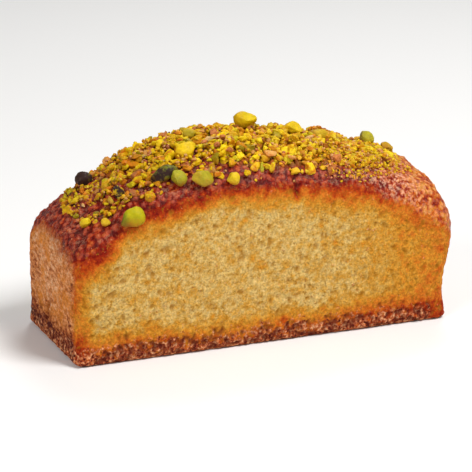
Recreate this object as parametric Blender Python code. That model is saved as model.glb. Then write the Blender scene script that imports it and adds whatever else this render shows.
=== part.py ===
"""A loaf-shaped financier: a small almond cake with a domed, browned top under chopped pistachios.

Lengths are in metres, +Z is up, and the cake stands on Z = 0 with its long side along X.
The cake is one solid. The nuts are stuck to its glaze, so they are fused to it.
"""

import math
import random

import bmesh
import bpy
from mathutils import Matrix, Vector, noise
from mathutils.bvhtree import BVHTree

MM = 0.001

# The part that the tin held: a long box whose walls lean out a little towards the rim
BASE_LENGTH = 100 * MM
BASE_WIDTH = 39 * MM
WALL_LEAN = 0.5 * MM
RIM_HEIGHT = 23 * MM
LEFT_BULGE = 0.1 * MM
RIGHT_BULGE = 2.0 * MM
BULGE_START = 0.4

# The part that rose above the tin: a long dome, highest a little left of the middle
PEAK_HEIGHT = 48.3 * MM
PEAK_X = -7 * MM
LEFT_END_HEIGHT = 30 * MM
RIGHT_END_HEIGHT = 32.8 * MM
LEFT_FALL = (2.1, 1.2)
RIGHT_FALL = (1.75, 0.62)
LEFT_SHOULDER_DROP = 3.5 * MM
RIGHT_SHOULDER_DROP = 6.8 * MM
DOME_POWER = 2.2

# Rounded edges: how far they reach sideways, from the foot to FOOT_HEIGHT and above, and up or down
EDGE_ROUND = 4.5 * MM
FOOT_EDGE_ROUND = 2.2 * MM
FOOT_HEIGHT = 12 * MM
SHOULDER_ROUND = 5.5 * MM
FOOT_ROUND = 1.5 * MM

# Cells of the grid that carries the cake's surface
CELLS_LONG = 34
CELLS_WIDE = 14
CELLS_HIGH = 13

# Relief of the baked surface: how far it stands in or out, and how wide a bump is
CRUST_RELIEF = 0.6 * MM
CRUST_BUMP = 7 * MM
CRUST_LAYERS = (0.8, 2.1, 3)
SIDE_RELIEF = 0.3 * MM
SIDE_BUMP = 11 * MM
SIDE_SHIFT = Vector((7, 3, 5))

# The crust's relief fades in as the surface turns up, and the sides' relief above the flat foot
CRUST_TURN = (0.25, 0.75)
SIDE_FADE = (0.5 * MM, 3 * MM)

# A face that looks this much along Y is pale crumb
CRUMB_FACING = 0.75

# Where the nuts lie: a patch round the ridge, blunt at the left and drawn in towards the right
NUT_PATCH_LEFT = -44.5 * MM
NUT_PATCH_RIGHT = 44 * MM
NUT_PATCH_WIDTH = 36 * MM
LEFT_PATCH_END = (8, 0.35)
RIGHT_PATCH_END = (3, 0.5)

# Chopped nuts: how many, their sizes from the largest to the smallest, and how deep they sit
NUT_COUNT = 165
NUT_LARGEST = 3.4 * MM
NUT_SMALLEST = 2.0 * MM
NUT_SUNK = 0.15
NUT_TRIES = 24
NUT_ROUGHNESS = 0.18
NUT_FLATNESS = (0.7, 0.95)
KERNEL_ROUGHNESS = 0.05
PLACE_SEED = 11
SHAPE_SEED = 5

# Whole or half kernels: x, y, length, width and height in mm, turn in degrees, and lift in mm
KERNELS = (
    (-34.3, -17.6, 6.2, 4.4, 3.6, 0, 0.2),
    (-23.5, -13.0, 6.0, 3.4, 3.2, 8, 0.3),
    (-21.0, -16.2, 3.6, 3.4, 3.4, 30, 0.3),
    (-16.6, -17.3, 5.3, 3.6, 3.8, 0, 0.3),
    (-37.3, 9.0, 4.2, 3.8, 3.8, 20, 0.2),
    (3.9, 3.3, 4.0, 3.6, 3.4, 0, 0),
    (2.8, 3.4, 6.0, 4.4, 4.8, 0, 1.9),
    (15.3, 0.3, 6.6, 5.0, 3.8, -12, 0.4),
    (-16.0, -4.3, 6.0, 5.0, 3.8, 15, 0.4),
    (-8.2, -17.9, 3.2, 3.2, 3.2, 0, 0.2),
    (35.2, 0.2, 3.4, 3.2, 3.0, 0, 0),
    (35.5, 0.5, 3.8, 3.6, 3.6, 0, 1.5),
    (41.3, 0.3, 3.6, 3.4, 3.4, 40, 0.3),
    (37.5, -6.2, 3.6, 3.0, 2.8, -10, 0.3),
)

# The ends swell unlike, so the cake is moved by this much to stand with its middle over the origin
MIDDLE_X = (RIGHT_BULGE - LEFT_BULGE) / 2

# Finishes: name, colour and roughness
CRUMB = ("pale_crumb", (0.60, 0.36, 0.09), 0.8)
CRUST = ("browned_crust", (0.34, 0.08, 0.02), 0.45)
PISTACHIO = ("chopped_pistachio", (0.58, 0.40, 0.02), 0.5)


def smooth_step(low, high, value):
    """0 below low, 1 above high, and a soft S between them."""
    t = min(1.0, max(0.0, (value - low) / (high - low)))
    return t * t * (3 - 2 * t)


def limit(value, low, high):
    """The value, held between low and high."""
    return min(high, max(low, value))


def crest_height(x):
    """Height of the dome's ridge at x."""
    if x < PEAK_X:
        reach, end, (power, sharpness) = BASE_LENGTH / 2 + PEAK_X, LEFT_END_HEIGHT, LEFT_FALL
    else:
        reach, end, (power, sharpness) = BASE_LENGTH / 2 - PEAK_X, RIGHT_END_HEIGHT, RIGHT_FALL
    share = min(1.0, abs(x - PEAK_X) / reach)
    return end + (PEAK_HEIGHT - end) * (1 - share**power) ** sharpness


def dome_height(x, y):
    """Height of the dome over the point (x, y), before its edge is rounded."""
    along = limit(x / BASE_LENGTH + 0.5, 0, 1)
    drop = LEFT_SHOULDER_DROP + (RIGHT_SHOULDER_DROP - LEFT_SHOULDER_DROP) * along
    return crest_height(x) - drop * min(1.0, abs(y) / (BASE_WIDTH / 2)) ** DOME_POWER


def cake_point(corner):
    """The place on the cake of a point on the cube from -1 to 1."""
    # A box as high as the peak, with its edges and corners rounded
    block = Vector((corner.x * BASE_LENGTH / 2, corner.y * BASE_WIDTH / 2, (corner.z + 1) / 2 * PEAK_HEIGHT))
    edge = FOOT_EDGE_ROUND + (EDGE_ROUND - FOOT_EDGE_ROUND) * smooth_step(0, FOOT_HEIGHT, block.z)
    radii = Vector((edge, edge, SHOULDER_ROUND if corner.z > 0 else FOOT_ROUND))
    core = Vector((
        limit(block.x, edge - BASE_LENGTH / 2, BASE_LENGTH / 2 - edge),
        limit(block.y, edge - BASE_WIDTH / 2, BASE_WIDTH / 2 - edge),
        limit(block.z, FOOT_ROUND, PEAK_HEIGHT - SHOULDER_ROUND),
    ))
    out = Vector([(b - c) / r for b, c, r in zip(block, core, radii)]).normalized()
    x, y, z = (c + o * r for c, o, r in zip(core, out, radii))
    # Its top is let down to the dome, column by column, and its walls shorten with it
    share = limit((z - FOOT_ROUND) / (PEAK_HEIGHT - SHOULDER_ROUND - FOOT_ROUND), 0, 1)
    z -= (PEAK_HEIGHT - dome_height(x, y)) * share
    # The walls lean out, and the ends swell over the rim of the tin
    bulge = LEFT_BULGE if x < 0 else RIGHT_BULGE
    x *= 1 + bulge / (BASE_LENGTH / 2) * smooth_step(BULGE_START * RIM_HEIGHT, RIM_HEIGHT, z)
    y *= 1 + WALL_LEAN / (BASE_WIDTH / 2) * smooth_step(0, RIM_HEIGHT, z)
    return Vector((x, y, z))


def relief(place, normal):
    """How far the baked surface stands out of the smooth form at a place."""
    crust = smooth_step(*CRUST_TURN, normal.z)
    side = smooth_step(*SIDE_FADE, place.z) * (1 - abs(normal.z))
    bumps = noise.fractal(place / CRUST_BUMP, *CRUST_LAYERS)
    swells = noise.noise(place / SIDE_BUMP + SIDE_SHIFT)
    return CRUST_RELIEF * crust * bumps + SIDE_RELIEF * side * swells


def finish(name, colour, roughness):
    """A material of one colour and roughness."""
    material = bpy.data.materials.new(name)
    material.use_nodes = True
    shader = material.node_tree.nodes["Principled BSDF"]
    shader.inputs["Base Color"].default_value = (*colour, 1)
    shader.inputs["Roughness"].default_value = roughness
    shader.inputs["Metallic"].default_value = 0
    material.diffuse_color = (*colour, 1)
    return material


def cake_body(crumb, crust):
    """The cake without its nuts: a cube cut into a grid, pushed into shape, then roughened."""
    form = bmesh.new()
    bmesh.ops.create_cube(form, size=2)
    for axis, cells in enumerate((CELLS_LONG, CELLS_WIDE, CELLS_HIGH)):
        along = [e for e in form.edges if abs((e.verts[0].co - e.verts[1].co)[axis]) > 0.01]
        bmesh.ops.subdivide_edges(form, edges=along, cuts=cells - 1, use_grid_fill=True)
    for vert in form.verts:
        vert.co = cake_point(vert.co)
    form.normal_update()
    moves = [(vert, vert.normal * relief(vert.co, vert.normal)) for vert in form.verts]
    for vert, move in moves:
        vert.co += move
    # The long sides show the crumb, and all the rest is browned
    for face in form.faces:
        face.material_index = 0 if abs(face.normal.y) > CRUMB_FACING else 1
    mesh = bpy.data.meshes.new("cake")
    form.to_mesh(mesh)
    form.free()
    mesh.materials.append(crumb)
    mesh.materials.append(crust)
    return bpy.data.objects.new("financier_cake", mesh)


def patch_half_width(x):
    """Half the width of the patch of nuts at x."""
    if x < PEAK_X:
        share, (power, sharpness) = (x - PEAK_X) / (NUT_PATCH_LEFT - PEAK_X), LEFT_PATCH_END
    else:
        share, (power, sharpness) = (x - PEAK_X) / (NUT_PATCH_RIGHT - PEAK_X), RIGHT_PATCH_END
    return NUT_PATCH_WIDTH / 2 * (1 - min(1.0, share) ** power) ** sharpness


def nut_places():
    """Where the chopped nuts lie, as x, y and size: the largest first, each in the widest gap it finds."""
    draw = random.Random(PLACE_SEED)
    kernels = [(x * MM, y * MM, length * MM) for x, y, length, *rest in KERNELS]
    placed = []
    for number in range(NUT_COUNT):
        size = NUT_LARGEST + (NUT_SMALLEST - NUT_LARGEST) * number / NUT_COUNT
        widest, best = None, None
        for _ in range(NUT_TRIES):
            x = draw.uniform(NUT_PATCH_LEFT, NUT_PATCH_RIGHT)
            y = draw.uniform(-1, 1) * patch_half_width(x)
            gap = min(math.hypot(x - a, y - b) - (size + other) / 2 for a, b, other in kernels + placed)
            if widest is None or gap > widest:
                widest, best = gap, (x, y, size)
        placed.append(best)
    return placed


def nut(name, spot, facing, sizes, turn, rounds, roughness, draw):
    """One piece of nut: a rough ball of so many rounds of faces, squashed and set square to the cake."""
    form = bmesh.new()
    bmesh.ops.create_icosphere(form, subdivisions=rounds, radius=0.5)
    for vert in form.verts:
        vert.co *= 1 + draw.uniform(-roughness, roughness)
    stretch = Matrix.Diagonal((*sizes, 1))
    standing = facing.to_track_quat("Z", "Y").to_matrix().to_4x4()
    # The piece's length starts along X, whichever way the surface faces
    ahead = standing.to_3x3().inverted() @ Vector((1, 0, 0))
    spin = Matrix.Rotation(math.atan2(ahead.y, ahead.x) + turn, 4, "Z")
    bmesh.ops.transform(form, matrix=standing @ spin @ stretch, verts=form.verts)
    mesh = bpy.data.meshes.new(name)
    form.to_mesh(mesh)
    form.free()
    piece = bpy.data.objects.new(name, mesh)
    piece.location = spot
    return piece


def scatter_nuts(cake, pistachio):
    """The kernels and the chopped nuts, each on the cake's surface, in a collection of their own."""
    draw = random.Random(SHAPE_SEED)
    surface = BVHTree.FromObject(cake, bpy.context.evaluated_depsgraph_get())
    nuts = bpy.data.collections.new("chopped_pistachio")

    def add(x, y, sizes, turn, lift, rounds, roughness):
        spot, facing, *rest = surface.ray_cast(Vector((x, y, 2 * PEAK_HEIGHT)), Vector((0, 0, -1)))
        spot += facing * (sizes[2] * (0.5 - NUT_SUNK) + lift)
        piece = nut(f"nut_{len(nuts.objects)}", spot, facing, sizes, turn, rounds, roughness, draw)
        piece.data.materials.append(pistachio)
        nuts.objects.link(piece)

    for x, y, length, width, height, turn, lift in KERNELS:
        sizes = (length * MM, width * MM, height * MM)
        add(x * MM, y * MM, sizes, math.radians(turn), lift * MM, 2, KERNEL_ROUGHNESS)
    for x, y, size in nut_places():
        sizes = (size, size * draw.uniform(*NUT_FLATNESS), size * draw.uniform(*NUT_FLATNESS))
        add(x, y, sizes, draw.uniform(0, math.tau), 0, 1, NUT_ROUGHNESS)
    return nuts


def fuse(cake, pieces):
    """Joins the pieces to the cake by one union and removes them."""
    bpy.context.scene.collection.children.link(pieces)
    union = cake.modifiers.new("nuts", "BOOLEAN")
    union.operation = "UNION"
    union.operand_type = "COLLECTION"
    union.collection = pieces
    union.solver = "EXACT"
    union.material_mode = "TRANSFER"
    fused = bpy.data.meshes.new_from_object(cake.evaluated_get(bpy.context.evaluated_depsgraph_get()))
    cake.modifiers.remove(union)
    cake.data = fused
    for piece in list(pieces.objects):
        bpy.data.objects.remove(piece)
    bpy.data.collections.remove(pieces)


def keep_outer_skin(cake):
    """Drops the loose scraps and the walls of sealed hollows that the union left."""
    form = bmesh.new()
    form.from_mesh(cake.data)
    shells, seen = [], set()
    for start in form.verts:
        if start in seen:
            continue
        shell, ahead = {start}, [start]
        while ahead:
            for edge in ahead.pop().link_edges:
                near = [v for v in edge.verts if v not in shell]
                shell.update(near)
                ahead.extend(near)
        seen |= shell
        shells.append(shell)
    shells.sort(key=len)
    scraps = [vert for shell in shells[:-1] for vert in shell]
    bmesh.ops.delete(form, geom=scraps, context="VERTS")
    form.to_mesh(cake.data)
    form.free()


for old in list(bpy.data.objects):
    bpy.data.objects.remove(old)
group = bpy.data.collections.new("financier")
bpy.context.scene.collection.children.link(group)
cake = cake_body(finish(*CRUMB), finish(*CRUST))
group.objects.link(cake)
fuse(cake, scatter_nuts(cake, finish(*PISTACHIO)))
keep_outer_skin(cake)
cake.location.x = -MIDDLE_X
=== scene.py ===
# %% [markdown]
# # Dressing a loaf-shaped financier
#
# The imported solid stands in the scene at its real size, but it is only a plain block with coarse nuts on it.
# This notebook gives it the looks of the real cake: an open, pale crumb on the long sides, a glazed and
# browned top, tin-baked ends, and a layer of chopped pistachio. Every piece is made at true size, in metres.

# %% Load the frame
import math
import random

import bmesh
import bpy
import numpy as np
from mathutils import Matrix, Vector, noise
from mathutils.bvhtree import BVHTree
from mathutils.kdtree import KDTree


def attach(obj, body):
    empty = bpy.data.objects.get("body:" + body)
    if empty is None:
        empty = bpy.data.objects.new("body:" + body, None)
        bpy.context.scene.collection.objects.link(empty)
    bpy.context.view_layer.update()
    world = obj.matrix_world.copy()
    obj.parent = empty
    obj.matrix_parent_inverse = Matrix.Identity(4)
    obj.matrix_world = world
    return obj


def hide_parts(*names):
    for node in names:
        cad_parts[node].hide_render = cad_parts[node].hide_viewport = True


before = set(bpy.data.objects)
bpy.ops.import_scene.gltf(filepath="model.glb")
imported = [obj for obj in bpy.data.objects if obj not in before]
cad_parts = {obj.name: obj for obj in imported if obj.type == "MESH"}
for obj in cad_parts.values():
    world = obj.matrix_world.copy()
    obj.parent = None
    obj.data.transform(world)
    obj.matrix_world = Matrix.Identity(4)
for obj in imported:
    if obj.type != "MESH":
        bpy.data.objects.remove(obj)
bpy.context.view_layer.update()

MM = 0.001
CAKE = "financier_cake"

# %% [markdown]
# ## The form of the cake
#
# The batter filled a small loaf tin and rose over its rim. So the form is a long box whose walls lean out a
# little, under a dome that is highest just left of the middle. A sculpted mesh could hold that form, but so
# do a few named sizes and two curves. They can be changed later, and they are the sizes of the plain solid.

# %% The sizes that drive the form
# The tin's inside at its base, and how far each long wall leans out by the rim
BASE_LENGTH = 100 * MM
BASE_WIDTH = 39 * MM
WALL_LEAN = 0.5 * MM
# The ends swell out from this share of the rim's height up, by so much at the rim
RIM_HEIGHT = 23 * MM
BULGE_START = 0.4
LEFT_BULGE = 0.1 * MM
RIGHT_BULGE = 2.0 * MM

# The ridge falls from the peak to both ends. Of the two powers of a fall, a higher first one keeps the ridge
# level for longer, and a second one below 1 lets it arrive steeply
PEAK_HEIGHT = 48.3 * MM
PEAK_X = -7 * MM
LEFT_END_HEIGHT = 30 * MM
RIGHT_END_HEIGHT = 32.8 * MM
LEFT_FALL = (2.1, 1.2)
RIGHT_FALL = (1.75, 0.62)
# How far the dome drops from the ridge to the long sides, at the left and right ends, and how late
LEFT_SHOULDER_DROP = 3.5 * MM
RIGHT_SHOULDER_DROP = 6.8 * MM
DOME_POWER = 2.2

# Rounding of the upright edges, which are sharper low down, and of the edges round the top and the foot
EDGE_ROUND = 4.5 * MM
FOOT_EDGE_ROUND = 2.2 * MM
FOOT_HEIGHT = 12 * MM
SHOULDER_ROUND = 5.5 * MM
FOOT_ROUND = 1.5 * MM

# The ends swell unlike, so the cake stands with its middle over the origin once it is moved by this much
MIDDLE_X = (RIGHT_BULGE - LEFT_BULGE) / 2
print("base in mm:", round(BASE_LENGTH / MM), "by", round(BASE_WIDTH / MM))


# %% The dome
def smooth_step(low, high, value):
    """0 below low, 1 above high, and a soft S between them."""
    t = np.clip((value - low) / (high - low), 0, 1)
    return t * t * (3 - 2 * t)


def crest_height(x):
    """Height of the dome's ridge at each x."""
    left = np.clip((PEAK_X - x) / (BASE_LENGTH / 2 + PEAK_X), 0, 1)
    right = np.clip((x - PEAK_X) / (BASE_LENGTH / 2 - PEAK_X), 0, 1)
    to_left = (1 - left ** LEFT_FALL[0]) ** LEFT_FALL[1]
    to_right = (1 - right ** RIGHT_FALL[0]) ** RIGHT_FALL[1]
    return np.where(
        x < PEAK_X,
        LEFT_END_HEIGHT + (PEAK_HEIGHT - LEFT_END_HEIGHT) * to_left,
        RIGHT_END_HEIGHT + (PEAK_HEIGHT - RIGHT_END_HEIGHT) * to_right,
    )


def dome_height(x, y):
    """Height of the dome over each point (x, y), before its edge is rounded."""
    along = np.clip(x / BASE_LENGTH + 0.5, 0, 1)
    drop = LEFT_SHOULDER_DROP + (RIGHT_SHOULDER_DROP - LEFT_SHOULDER_DROP) * along
    return crest_height(x) - drop * np.clip(np.abs(y) / (BASE_WIDTH / 2), 0, 1) ** DOME_POWER


print("ridge height in mm at both ends and the peak:",
      (crest_height(np.array([-BASE_LENGTH / 2, BASE_LENGTH / 2, PEAK_X])) / MM).round(1))


# %% The rounded box under the dome
def cake_places(corners):
    """Places on the smooth cake of points on the cube from -1 to 1."""
    half = np.array([BASE_LENGTH / 2, BASE_WIDTH / 2, PEAK_HEIGHT / 2])
    block = corners * half + [0, 0, PEAK_HEIGHT / 2]
    edge = FOOT_EDGE_ROUND + (EDGE_ROUND - FOOT_EDGE_ROUND) * smooth_step(0, FOOT_HEIGHT, block[:, 2])
    radii = np.stack([edge, edge, np.where(corners[:, 2] > 0, SHOULDER_ROUND, FOOT_ROUND)], axis=1)
    foot_line = np.full_like(edge, FOOT_ROUND)
    shoulder_line = np.full_like(edge, PEAK_HEIGHT - SHOULDER_ROUND)
    low = np.stack([edge - half[0], edge - half[1], foot_line], axis=1)
    high = np.stack([half[0] - edge, half[1] - edge, shoulder_line], axis=1)
    core = np.clip(block, low, high)
    out = (block - core) / radii
    out /= np.linalg.norm(out, axis=1, keepdims=True)
    x, y, z = (core + out * radii).T
    # The box is as high as the peak. Each column is let down to the dome, and the walls shorten with it
    share = np.clip((z - FOOT_ROUND) / (PEAK_HEIGHT - SHOULDER_ROUND - FOOT_ROUND), 0, 1)
    z = z - (PEAK_HEIGHT - dome_height(x, y)) * share
    bulge = np.where(x < 0, LEFT_BULGE, RIGHT_BULGE)
    x = x * (1 + bulge / (BASE_LENGTH / 2) * smooth_step(BULGE_START * RIM_HEIGHT, RIM_HEIGHT, z))
    y = y * (1 + WALL_LEAN / (BASE_WIDTH / 2) * smooth_step(0, RIM_HEIGHT, z))
    return np.stack([x, y, z], axis=1)


top_middle = cake_places(np.array([[0.0, 0.0, 1.0]]))[0]
print("the middle of the top is", round(float(top_middle[2]) / MM, 1), "mm high")

# %% [markdown]
# ## A fine, even grid
#
# Crumb and crust have bumps of about a millimetre, so the surface needs cells of less than half that. A cube
# could be cut with the Subdivide tool, but at this size that is slow. Arrays are quick: number the points on
# the outside of a lattice, and each of its six sides is a sheet of numbers that gives the faces. The flat
# underside needs no cells, so inside a fine rim it is a single face.

# %% Grid points and faces
CELL = 0.415 * MM
# The walls get as many cells as fill this height
WALL_CELLS_HEIGHT = 43.5 * MM
# So many rows of cells along the underside's edge
UNDERSIDE_RIM = 8
cells = [round(size / CELL) for size in (BASE_LENGTH, BASE_WIDTH, WALL_CELLS_HEIGHT)]

number = np.full([count + 1 for count in cells], -1)
outside = np.zeros(number.shape, bool)
outside[[0, -1]] = outside[:, [0, -1]] = outside[:, :, [0, -1]] = True
outside[UNDERSIDE_RIM + 1:-UNDERSIDE_RIM - 1, UNDERSIDE_RIM + 1:-UNDERSIDE_RIM - 1, 0] = False
number[outside] = np.arange(outside.sum())
corners = np.argwhere(outside) / cells * 2 - 1
# The dome slopes down at its ends, which spreads the cells there, so more of them are moved to the ends
END_CROWDING = 0.13
corners[:, 0] *= 1 + END_CROWDING * (1 - corners[:, 0] ** 2)


def sheet_faces(sheet, turned):
    """The four-sided faces of one side of the lattice, with their outsides out."""
    quads = np.stack([sheet[:-1, :-1], sheet[1:, :-1], sheet[1:, 1:], sheet[:-1, 1:]], axis=-1)
    quads = quads.reshape(-1, 4)
    quads = quads[quads.min(axis=1) >= 0]
    return quads[:, ::-1] if turned else quads


faces = np.concatenate([
    sheet_faces(number[0], True), sheet_faces(number[-1], False),
    sheet_faces(number[:, 0], False), sheet_faces(number[:, -1], True),
    sheet_faces(number[:, :, 0], True), sheet_faces(number[:, :, -1], False),
])
inner = number[UNDERSIDE_RIM:-UNDERSIDE_RIM, UNDERSIDE_RIM:-UNDERSIDE_RIM, 0]
underside = np.concatenate([inner[0, :-1], inner[:-1, -1], inner[-1, :0:-1], inner[:0:-1, 0]])
smooth_cake = cake_places(corners)
print("grid:", cells, "cells,", len(smooth_cake), "points")
print("triangles:", 2 * len(faces) + len(underside) - 2)


# %% Which way the surface faces
def facings(places, faces):
    """The direction that the surface faces at each place."""
    a, b, c, d = (places[faces[:, corner]] for corner in range(4))
    total = np.zeros_like(places)
    for corner in range(4):
        np.add.at(total, faces[:, corner], np.cross(c - a, d - b))
    return total / np.linalg.norm(total, axis=1, keepdims=True)


facing = facings(smooth_cake, faces)
x, y, z = smooth_cake.T
below_dome = dome_height(x, y) - z
print("points that face up:", int((facing[:, 2] > 0.7).sum()), "of", len(facing))


# %% [markdown]
# ## Where the cake is browned
#
# Heat browns a cake from its skin inwards. The open top got most of it, the tin browned the ends and the
# foot, and the long sides stayed pale in the middle. Painting that by hand would be tied to one view. Here
# each point gets a number for each kind of surface, worked out from how far it lies from the top, the ends
# and the foot, and broad noise makes the borders wander as they do on the real cake.

# %% Noise on the surface
def wander(size, stretch=(1, 1, 1), shift=0.0):
    """Smooth noise, about -1 to 1, at each point of the cake. Its waves are as wide as size."""
    where = smooth_cake / (np.array(stretch) * size) + shift
    return np.array([noise.noise(place) for place in where.tolist()])


broad, middling, small = wander(14 * MM), wander(5 * MM, shift=4.0), wander(1.6 * MM, shift=9.0)
print("noise spread:", [round(float(field.std()), 2) for field in (broad, middling, small)])

# %% The glazed crust
# It covers the dome and reaches a little down the walls: so far below the dome it is full, and there it ends
CRUST_EDGE = (0.8 * MM, 4.2 * MM)
# It ends higher towards the left-hand end and lower at the right-hand one: by how much, and between which x
LEFT_RISE, LEFT_RISE_RANGE = 1.8 * MM, (22 * MM, 38 * MM)
RIGHT_DIP, RIGHT_DIP_RANGE = 1.2 * MM, (38 * MM, 46 * MM)
# Two stretches where it ends higher too: by how much, at which x, and how far to each side, in mm
RISES = ((3.4, -36.0, 6.5), (3.0, 25.5, 6.5))
# Where the cake faces its ends, the depth below the dome counts for less, so the crust reaches further down
END_SOFTNESS = 0.4
FACING_ENDS = (0.5, 0.9)
# Whatever faces up this much is crust
FACING_UP = (0.35, 0.75)

border = below_dome * (1 - END_SOFTNESS * smooth_step(*FACING_ENDS, np.abs(facing[:, 0])))
border += LEFT_RISE * smooth_step(*LEFT_RISE_RANGE, -x)
for rise, rise_x, rise_width in RISES:
    border += rise * MM * np.exp(-(((x / MM - rise_x) / rise_width) ** 2))
border -= RIGHT_DIP * smooth_step(*RIGHT_DIP_RANGE, x)
# Three sizes of noise make it wander, each by up to about a millimetre
border += (0.8 * broad + 1.0 * middling + 0.9 * small) * MM
crust = np.maximum(1 - smooth_step(*CRUST_EDGE, border), smooth_step(*FACING_UP, facing[:, 2]))
print("crust:", round(float(crust.mean()), 2), "of the points")

# %% The ends that lay against the tin
# How much a point faces along x from where it belongs to an end, and how far noise moves that border
TIN_FACING, TIN_WANDER = (0.84, 1.00), 0.06
tin_side = smooth_step(*TIN_FACING, np.abs(facing[:, 0]) + TIN_WANDER * middling) * (1 - crust)

# The tin baked them darker low down and beside the corners, and a little paler just under the crust
HEAT_LOW, HEAT_LOW_RANGE = 0.27, (0.5 * MM, 12 * MM)
HEAT_SIDE, HEAT_SIDE_RANGE = 0.06, (9 * MM, 17 * MM)
HEAT_TOP, HEAT_TOP_RANGE = -0.04, (2 * MM, 8 * MM)
tin_heat = HEAT_LOW * (1 - smooth_step(*HEAT_LOW_RANGE, z))
tin_heat += HEAT_SIDE * smooth_step(*HEAT_SIDE_RANGE, np.abs(y))
tin_heat += HEAT_TOP * (1 - smooth_step(*HEAT_TOP_RANGE, below_dome))
print("tin side:", round(float(tin_side.mean()), 2), "of the points")

# %% The foot
# It is a dark, crumbling band, full at one height and gone at another, with a ragged upper edge
FOOT_BAND = (0.5 * MM, 7.7 * MM)
# Along the long sides it dies away before the right-hand corners, except for its lowest millimetre
FOOT_DIES = (43.5 * MM, 46.5 * MM)
FOOT_STAYS = (0.3 * MM, 1.2 * MM)
END_FACING = (0.8, 0.95)
foot = 1 - smooth_step(*FOOT_BAND, z + (0.9 * middling + 1.6 * small + 0.6 * broad) * MM)
corner = smooth_step(*FOOT_DIES, x + middling * MM) * (1 - smooth_step(*END_FACING, np.abs(facing[:, 0])))
foot *= 1 - corner * smooth_step(*FOOT_STAYS, z)
print("foot:", round(float(foot.mean()), 2), "of the points")

# %% [markdown]
# ## Browning of the long sides
#
# A long side is pale in its middle and turns golden, orange and brown towards each edge. A gradient for each
# edge could be added up, but the sums would burn the corners. So each edge leaves a share of the paleness,
# and the shares are multiplied, as when one thin tint is laid over another.

# %% What each edge gives
# Strength, how far from the edge it is full, and where it ends
FROM_TOP = (0.82, 1.9 * MM, 11.2 * MM)
FROM_LEFT = (0.40, 0.8 * MM, 5.6 * MM)
FROM_RIGHT = (0.385, 3.0 * MM, 41 * MM)
FROM_FOOT = (0.58, 2.4 * MM, 10.5 * MM)
CRUMB_BROWNING = 0.07
left_side = x + BASE_LENGTH / 2
right_side = BASE_LENGTH / 2 + RIGHT_BULGE - x

# The top gives less over the right-hand end, where the dome is orange, and at the left-hand corner under the
# crust. The left-hand edge gives less near the crust
LESS_RIGHT, LESS_RIGHT_RANGE = 0.75, (22 * MM, 47 * MM)
LESS_CORNER, LESS_CORNER_RANGE, LESS_CORNER_DEPTH = 0.24, (2 * MM, 7 * MM), (2 * MM, 4 * MM)
LESS_EDGE, LESS_EDGE_DEPTH = 0.85, (3 * MM, 10 * MM)
less_top = LESS_RIGHT * smooth_step(*LESS_RIGHT_RANGE, x + 4 * MM * broad)
at_corner = LESS_CORNER * (1 - smooth_step(*LESS_CORNER_RANGE, left_side))
less_top += at_corner * smooth_step(*LESS_CORNER_DEPTH, border)
less_left = LESS_EDGE * (1 - smooth_step(*LESS_EDGE_DEPTH, border))

# How much further down the orange band under the crust reaches, at places along the cake, all in mm
ORANGE_LOWER = ((-50, 1.4), (-42, 3.8), (-30, 1.4), (-20, 0.0), (24, 0.0), (32, 0.5), (50, 0.5))
lower_x, lower_by = zip(*ORANGE_LOWER)
under_crust = border - np.interp(x / MM, lower_x, lower_by) * MM
# The foot browned the wall a little higher up towards the left-hand end
FOOT_HIGHER, FOOT_HIGHER_RANGE = 0.8 * MM, (-38 * MM, -12 * MM)
over_foot = z - FOOT_HIGHER * (1 - smooth_step(*FOOT_HIGHER_RANGE, x))

edges = (
    (FROM_TOP, under_crust, less_top),
    (FROM_LEFT, left_side, less_left),
    (FROM_RIGHT, right_side, 0),
    (FROM_FOOT, over_foot, 0),
)
pale = np.full_like(x, 1 - CRUMB_BROWNING)
for (strength, full, gone), distance, less in edges:
    reached = 1 - smooth_step(full, gone, distance + (0.9 * broad + 0.7 * middling) * MM)
    pale = pale * (1 - strength * (1 - less) * reached)
browning = np.clip(1 - pale, 0, 1)
print("browning at the median:", round(float(np.median(browning)), 2))

# %% Warm spots
# Here and there the crumb is a little more golden, in small round spots
WARM_SPOTS = 150
WARM_RADII = (1.2 * MM, 2.6 * MM)
WARMTH = 0.22
SPOT_SEED = 21
# Where on a long side they lie: as far as this to each end, and between two heights, where -1 is the foot
WARM_AREA = (0.95, -0.85, 0.8)

grid_tree = KDTree(len(smooth_cake))
for place_number, place in enumerate(smooth_cake.tolist()):
    grid_tree.insert(place, place_number)
grid_tree.balance()
chance = random.Random(SPOT_SEED)


def wall_spot(along, low, high):
    """A random place on one of the two long sides, as far as along to each side and between two heights."""
    wall = chance.choice((-1, 1))
    spot = np.array([[chance.uniform(-along, along), wall, chance.uniform(low, high)]])
    return Vector(cake_places(spot)[0])


for count in range(WARM_SPOTS):
    middle, radius = wall_spot(*WARM_AREA), chance.uniform(*WARM_RADII)
    for place, place_number, away in grid_tree.find_range(middle, radius):
        uneven = min(1, max(0, 0.8 + 1.6 * small[place_number]))
        fading = (1 - (away / radius) ** 2) ** 2
        browning[place_number] += WARMTH * uneven * (1 - browning[place_number]) * fading
print("browning with the warm spots, at most:", round(float(browning.max()), 2))

# %% [markdown]
# ## Relief
#
# The coarse relief is the solid's own, made by the same noise, so both keep one form. On it come the details
# that only show close up: the glaze dried over small blisters, the ends wrinkled against the tin, the foot
# crumbled, and the crumb is full of pores. All of it is real geometry, because a bump map has no outline.

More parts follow.
